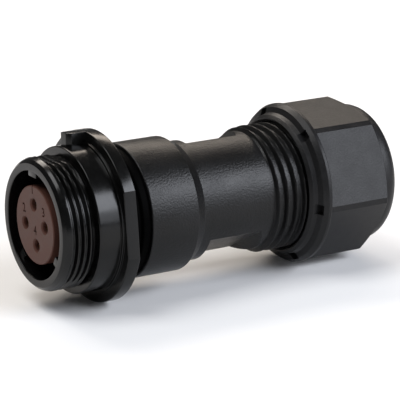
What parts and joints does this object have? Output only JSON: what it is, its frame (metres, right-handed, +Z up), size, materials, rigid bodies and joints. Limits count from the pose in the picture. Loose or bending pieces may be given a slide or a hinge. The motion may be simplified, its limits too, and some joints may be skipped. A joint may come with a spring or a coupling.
{
  "type": "circular cable connector",
  "caption": "Round in-line cable socket with a threaded keyed front, numbered contacts in a brown insert, a slim black body with spanner flats, and a hexagon gland nut.",
  "frame": {"origin": "centre of the mating face, where the axis meets the front rim of the shell", "axes": "+X along the axis from the mating face to the cable end, +Z up through the main key"},
  "size_m": [0.0878, 0.0376, 0.039],
  "materials": {
    "shell_plastic": "glossy moulded black nylon",
    "body_plastic": "fine-grained moulded black nylon",
    "nut_plastic": "matte moulded charcoal nylon",
    "insert_plastic": "moulded mauve-brown thermoset",
    "inner_plastic": "moulded black nylon",
    "cage_plastic": "moulded black nylon",
    "contact_brass": "turned",
    "screw_steel": "zinc plated",
    "seal_rubber": "satin moulded",
    "bush_rubber": "satin moulded"
  },
  "bodies": {
    "shell": {"front_shell": "shell_plastic", "contact_insert": "insert_plastic", "insert_retainer": "inner_plastic", "terminal_screws": "screw_steel", "body_seal": "seal_rubber", "rear_body": "body_plastic", "gland_seal": "bush_rubber", "socket_contact_1": "contact_brass", "socket_contact_2": "contact_brass", "socket_contact_3": "contact_brass", "socket_contact_4": "contact_brass"},
    "clamp": {"gland_cage": "cage_plastic"},
    "nut": {"gland_nut": "nut_plastic"}
  },
  "joints": [
    {"name": "nut_travel", "type": "slide", "parent": "shell", "child": "clamp", "axis": [-1, 0, 0], "range_m": [-0.00481, 0.00361]},
    {"name": "nut_turn", "type": "hinge", "parent": "clamp", "child": "nut", "pos_m": [0.075, 0, 0], "axis": [-1, 0, 0], "range_deg": [-720, 540]}
  ],
  "couplings": [
    {"joint": "nut_travel", "follows": "nut_turn", "m_per_rad": 0.00038197}
  ]
}
